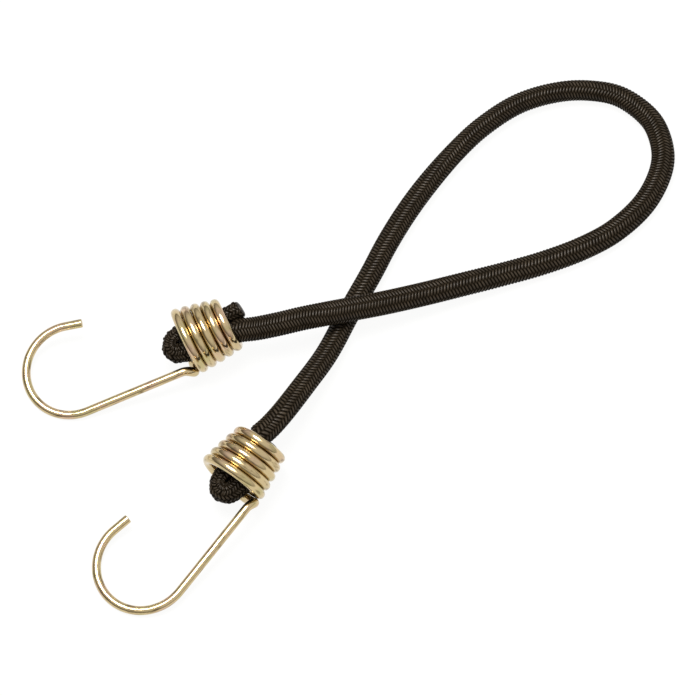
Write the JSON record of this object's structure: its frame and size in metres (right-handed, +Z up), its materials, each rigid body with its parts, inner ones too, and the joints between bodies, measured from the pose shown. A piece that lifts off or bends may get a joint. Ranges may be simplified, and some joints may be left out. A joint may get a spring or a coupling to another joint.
{
  "type": "bungee cord",
  "caption": "Elastic cord in a braided sheath with a coiled wire hook gripping each doubled end; it stretches and its hooks swivel.",
  "frame": {"origin": "middle of the two hooks on the surface that the cord lies on", "axes": "+Z up from that surface; +X from the hooks towards the loop of cord; +Y from hook B towards hook A"},
  "size_m": [0.2435, 0.2209, 0.0252],
  "materials": {
    "plated_steel": "yellow zinc plating, polished",
    "braid": "tight dark brown-black polyester braid",
    "rubber_core": "matt natural rubber",
    "melted_end": "dark melted polyester"
  },
  "bodies": {
    "cord": {"braided_sheath": "braid", "rubber_strand_01": "rubber_core", "rubber_strand_02": "rubber_core", "rubber_strand_03": "rubber_core", "rubber_strand_04": "rubber_core", "rubber_strand_05": "rubber_core", "rubber_strand_06": "rubber_core", "rubber_strand_07": "rubber_core", "rubber_strand_08": "rubber_core", "rubber_strand_09": "rubber_core", "rubber_strand_10": "rubber_core", "rubber_strand_11": "rubber_core", "rubber_strand_12": "rubber_core", "rubber_strand_13": "rubber_core", "rubber_strand_14": "rubber_core", "rubber_strand_15": "rubber_core", "rubber_strand_16": "rubber_core", "rubber_strand_17": "rubber_core", "rubber_strand_18": "rubber_core", "rubber_strand_19": "rubber_core", "rubber_strand_20": "rubber_core", "rubber_strand_21": "rubber_core"},
    "end_a": {"tail_seal_a": "melted_end"},
    "hook_a": {"hook_a": "plated_steel"},
    "end_b": {"tail_seal_b": "melted_end"},
    "hook_b": {"hook_b": "plated_steel"}
  },
  "joints": [
    {"name": "stretch_a", "type": "slide", "parent": "cord", "child": "end_a", "axis": [-0.9409, -0.3387, 0], "range_m": [0, 0.15], "stiffness_N_per_m": 1000, "deforming": ["braided_sheath", "rubber_strand_01", "rubber_strand_02", "rubber_strand_03", "rubber_strand_04", "rubber_strand_05", "rubber_strand_06", "rubber_strand_07", "rubber_strand_08", "rubber_strand_09", "rubber_strand_10", "rubber_strand_11", "rubber_strand_12", "rubber_strand_13", "rubber_strand_14", "rubber_strand_15", "rubber_strand_16", "rubber_strand_17", "rubber_strand_18", "rubber_strand_19", "rubber_strand_20", "rubber_strand_21"]},
    {"name": "swivel_a", "type": "hinge", "parent": "end_a", "child": "hook_a", "pos_m": [0.0105, 0.0434, 0.01188], "axis": [-0.9243, -0.3328, -0.1871], "range_deg": [-180, 180]},
    {"name": "stretch_b", "type": "slide", "parent": "cord", "child": "end_b", "axis": [-0.6252, -0.7804, 0], "range_m": [0, 0.15], "stiffness_N_per_m": 1000, "deforming": ["braided_sheath", "rubber_strand_01", "rubber_strand_02", "rubber_strand_03", "rubber_strand_04", "rubber_strand_05", "rubber_strand_06", "rubber_strand_07", "rubber_strand_08", "rubber_strand_09", "rubber_strand_10", "rubber_strand_11", "rubber_strand_12", "rubber_strand_13", "rubber_strand_14", "rubber_strand_15", "rubber_strand_16", "rubber_strand_17", "rubber_strand_18", "rubber_strand_19", "rubber_strand_20", "rubber_strand_21"]},
    {"name": "swivel_b", "type": "hinge", "parent": "end_b", "child": "hook_b", "pos_m": [0.0288, -0.0126, 0.01188], "axis": [-0.6147, -0.7672, -0.1831], "range_deg": [-180, 180]}
  ],
  "couplings": [
    {"joint": "stretch_b", "follows": "stretch_a", "ratio": 1}
  ]
}
